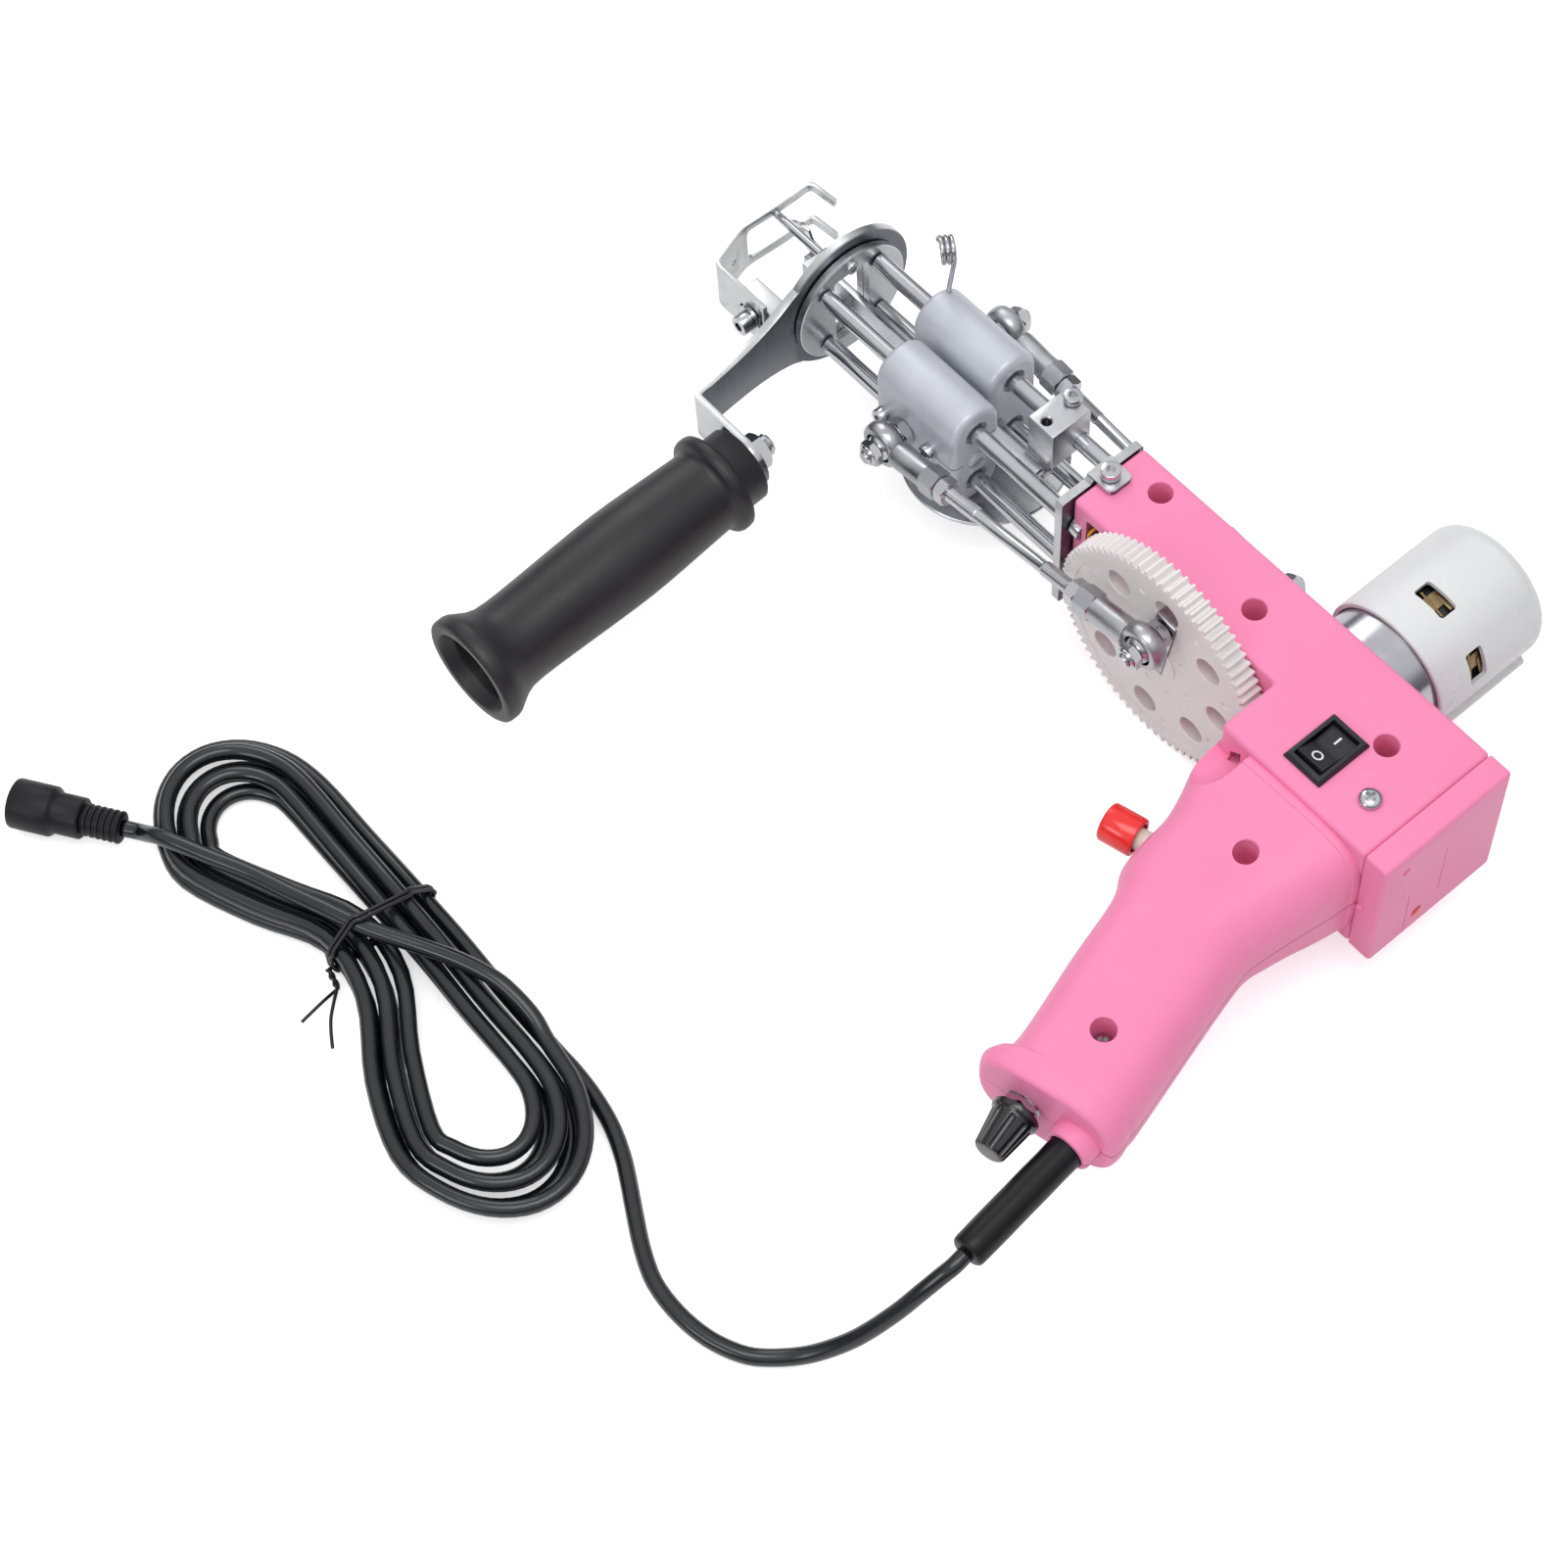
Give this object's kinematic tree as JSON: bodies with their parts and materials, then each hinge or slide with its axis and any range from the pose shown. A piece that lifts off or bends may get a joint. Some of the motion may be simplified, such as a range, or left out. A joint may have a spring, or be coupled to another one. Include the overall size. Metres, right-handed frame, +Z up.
{
  "type": "handheld tufting machine",
  "caption": "Handheld powered tufting machine: a geared crank drives a hollow needle and a cutter along slide rods, with trigger, speed knob, front grip and coiled supply cord.",
  "frame": {"origin": "middle of the underside of the box round the machine without its cord, on the surface it lies on", "axes": "+X forward to the needle, +Y from the motor side to the handle side, +Z up from the side it lies on"},
  "size_m": [0.3263, 0.3858, 0.0826],
  "materials": {
    "housing_plastic": "semi-gloss moulded pink",
    "gear_plastic": "smooth moulded, off-white",
    "cap_plastic": "milky, slightly see-through",
    "black_plastic": "moulded black",
    "grip_plastic": "satin black",
    "red_plastic": "glossy red",
    "switch_plastic": "plain off-white",
    "rubber": "soft black",
    "cord_skin": "smooth flexible PVC",
    "tie_plastic": "plastic-covered wire",
    "steel": "machined steel",
    "bright_steel": "nickel-plated",
    "zinc_sheet": "zinc-plated sheet",
    "motor_steel": "plated motor can",
    "carriage_metal": "silver-grey finish",
    "aluminium": "satin",
    "yellow_insulation": "wire insulation",
    "board_green": "circuit board lacquer"
  },
  "bodies": {
    "tool_body": {"housing_upper_shell": "housing_plastic", "housing_lower_shell": "housing_plastic", "rear_cover": "housing_plastic", "led_lens": "red_plastic", "circuit_board": "board_green", "cover_screw": "bright_steel", "handle_shell_screw": "bright_steel", "rocker_switch_body": "black_plastic", "trigger_switch": "switch_plastic", "potentiometer": "zinc_sheet", "strain_relief": "rubber", "gear_bearing": "bright_steel", "crank_bearing": "bright_steel", "motor_can": "motor_steel", "motor_cap": "cap_plastic", "guide_rod_1": "bright_steel", "guide_rod_2": "bright_steel", "guide_rod_3": "bright_steel", "guide_rod_4": "bright_steel", "rear_bracket": "zinc_sheet", "bracket_tab_screw": "bright_steel", "stop_block": "aluminium", "stop_block_screw": "bright_steel", "front_inner_plate": "zinc_sheet", "handle_bracket": "zinc_sheet", "grip_stud": "steel", "front_grip": "grip_plastic", "presser_foot": "zinc_sheet", "foot_mount": "aluminium", "foot_screw": "bright_steel", "jumper_wire": "yellow_insulation", "cord_lead": "cord_skin", "cord_hank": "cord_skin", "cord_tie": "tie_plastic", "dc_plug": "rubber"},
    "drive": {"drive_gear": "gear_plastic", "crank_shaft": "steel"},
    "pinion": {"motor_pinion": "gear_plastic"},
    "needle_slide": {"needle_carriage": "carriage_metal", "needle_carriage_bolt": "steel", "needle_bar": "steel", "needle": "bright_steel", "round_plate": "zinc_sheet"},
    "cutter_slide": {"cutter_carriage": "carriage_metal", "cutter_carriage_bolt": "steel", "cutter_bar": "steel", "fixed_blade": "steel", "yarn_eyelet": "bright_steel"},
    "blade": {"moving_blade": "steel"},
    "needle_rod": {"needle_rod_stud": "steel", "needle_rod_rear_end": "zinc_sheet", "needle_rod_front_end": "zinc_sheet", "needle_crank_bolt": "steel"},
    "cutter_rod": {"cutter_rod_stud": "steel", "cutter_rod_rear_end": "zinc_sheet", "cutter_rod_front_end": "zinc_sheet", "cutter_crank_bolt": "steel"},
    "rocker": {"rocker_paddle": "black_plastic"},
    "trigger": {"trigger_cap": "red_plastic"},
    "knob": {"speed_knob": "grip_plastic"}
  },
  "joints": [
    {"name": "gear_spin", "type": "hinge", "parent": "tool_body", "child": "drive", "pos_m": [-0.04786, -0.03477, 0.041], "axis": [0, 1, 0], "continuous": true},
    {"name": "pinion_spin", "type": "hinge", "parent": "tool_body", "child": "pinion", "pos_m": [-0.09616, -0.03477, 0.041], "axis": [0, 1, 0], "continuous": true},
    {"name": "needle_stroke", "type": "slide", "parent": "tool_body", "child": "needle_slide", "axis": [1, 0, 0], "range_m": [-0.01505, 0.02355]},
    {"name": "cutter_stroke", "type": "slide", "parent": "tool_body", "child": "cutter_slide", "axis": [1, 0, 0], "range_m": [-0.009, 0.0184]},
    {"name": "blade_pivot", "type": "hinge", "parent": "cutter_slide", "child": "blade", "pos_m": [0.13714, -0.06027, 0.0362], "axis": [0, 1, 0], "range_deg": [-9.3, 4.6]},
    {"name": "needle_rod_pivot", "type": "hinge", "parent": "needle_slide", "child": "needle_rod", "pos_m": [0.06644, -0.02327, 0.041], "axis": [0, 1, 0], "range_deg": [-18.6, 0.1]},
    {"name": "cutter_rod_pivot", "type": "hinge", "parent": "cutter_slide", "child": "cutter_rod", "pos_m": [0.07414, -0.08177, 0.041], "axis": [0, 1, 0], "range_deg": [-0.27, 12.15]},
    {"name": "rocker_tilt", "type": "hinge", "parent": "tool_body", "child": "rocker", "pos_m": [-0.11496, -0.03407, 0.0662], "axis": [1, 0, 0], "range_deg": [-18, 0]},
    {"name": "trigger_press", "type": "slide", "parent": "tool_body", "child": "trigger", "axis": [-0.9659, -0.259, 0], "range_m": [0, 0.003], "stiffness_N_per_m": 600, "springref_m": -0.001},
    {"name": "knob_turn", "type": "hinge", "parent": "tool_body", "child": "knob", "pos_m": [-0.13176, 0.10083, 0.041], "axis": [-0.2525, 0.9676, 0], "range_deg": [-150, 150]}
  ],
  "couplings": [
    {"joint": "pinion_spin", "follows": "gear_spin", "ratio": -5},
    {"joint": "blade_pivot", "follows": "cutter_stroke", "rad_per_m": -8.7266}
  ]
}
